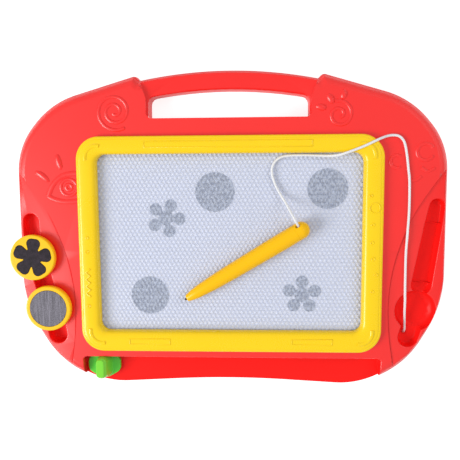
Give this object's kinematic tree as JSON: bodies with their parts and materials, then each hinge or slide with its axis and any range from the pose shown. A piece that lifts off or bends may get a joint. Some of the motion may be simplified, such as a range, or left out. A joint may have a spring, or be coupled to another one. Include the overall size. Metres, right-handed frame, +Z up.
{
  "type": "magnetic drawing board",
  "caption": "Child's magnetic drawing board with a carrying handle, framed screen, corded pen, sliding eraser and lift-off magnet stamps.",
  "frame": {"origin": "on the flat back, under the middle of the screen frame", "axes": "+X to the right, +Y towards the carrying handle, +Z up out of the drawing face, with the board lying on its back"},
  "size_m": [0.3819, 0.2792, 0.0371],
  "materials": {
    "red_plastic": "satin moulded",
    "yellow_plastic": "glossy moulded",
    "pen_plastic": "glossy moulded",
    "green_plastic": "glossy moulded",
    "white_plastic": "plain moulded",
    "clear_film": "clear film",
    "screen_cells": "pale cells",
    "magnet_strip": "flat magnet sheet",
    "black_plastic": "plain moulded",
    "screw_steel": "zinc plated",
    "white_cord": "braided"
  },
  "bodies": {
    "board": {"front_shell": "red_plastic", "back_cover": "red_plastic", "bezel": "yellow_plastic", "front_film": "clear_film", "honeycomb_core": "screen_cells", "back_film": "screen_cells", "screen_retainer_lower": "white_plastic", "screen_retainer_upper": "white_plastic", "cover_screw_1": "screw_steel", "cover_screw_2": "screw_steel", "cover_screw_3": "screw_steel", "cover_screw_4": "screw_steel", "cover_screw_5": "screw_steel", "cover_screw_6": "screw_steel", "cover_screw_7": "screw_steel", "cover_screw_8": "screw_steel", "retainer_screw_1": "screw_steel", "retainer_screw_2": "screw_steel", "retainer_screw_3": "screw_steel", "retainer_screw_4": "screw_steel", "pen_cord": "white_cord", "anchor_knot": "white_cord"},
    "eraser": {"eraser_knob": "green_plastic", "eraser_carriage": "white_plastic", "eraser_magnet_1": "magnet_strip", "eraser_magnet_2": "magnet_strip"},
    "flower_stamp": {"flower_stamp_body": "yellow_plastic", "flower_stamp_magnet": "magnet_strip"},
    "round_stamp": {"round_stamp_body": "yellow_plastic", "round_stamp_magnet": "magnet_strip"},
    "pen_eye": {"pen_knot": "white_cord"},
    "pen": {"pen_barrel": "pen_plastic", "pen_tail_cap": "pen_plastic", "pen_tip": "black_plastic", "pen_magnet": "magnet_strip"}
  },
  "joints": [
    {"name": "eraser_slide", "type": "slide", "parent": "board", "child": "eraser", "axis": [1, 0, 0], "range_m": [0, 0.232]},
    {"name": "flower_stamp_lift", "type": "slide", "parent": "board", "child": "flower_stamp", "axis": [0, 0, 1], "range_m": [0, 0.05]},
    {"name": "round_stamp_lift", "type": "slide", "parent": "board", "child": "round_stamp", "axis": [0, 0, 1], "range_m": [0, 0.05]},
    {"name": "pen_swing", "type": "hinge", "parent": "board", "child": "pen_eye", "pos_m": [0.06016, 0.01635, 0.03117], "axis": [0, 0, 1], "range_deg": [-20, 15]},
    {"name": "pen_tilt", "type": "hinge", "parent": "pen_eye", "child": "pen", "pos_m": [0.06016, 0.01635, 0.03117], "axis": [-0.5195, 0.8545, 0], "range_deg": [0, 20]}
  ]
}
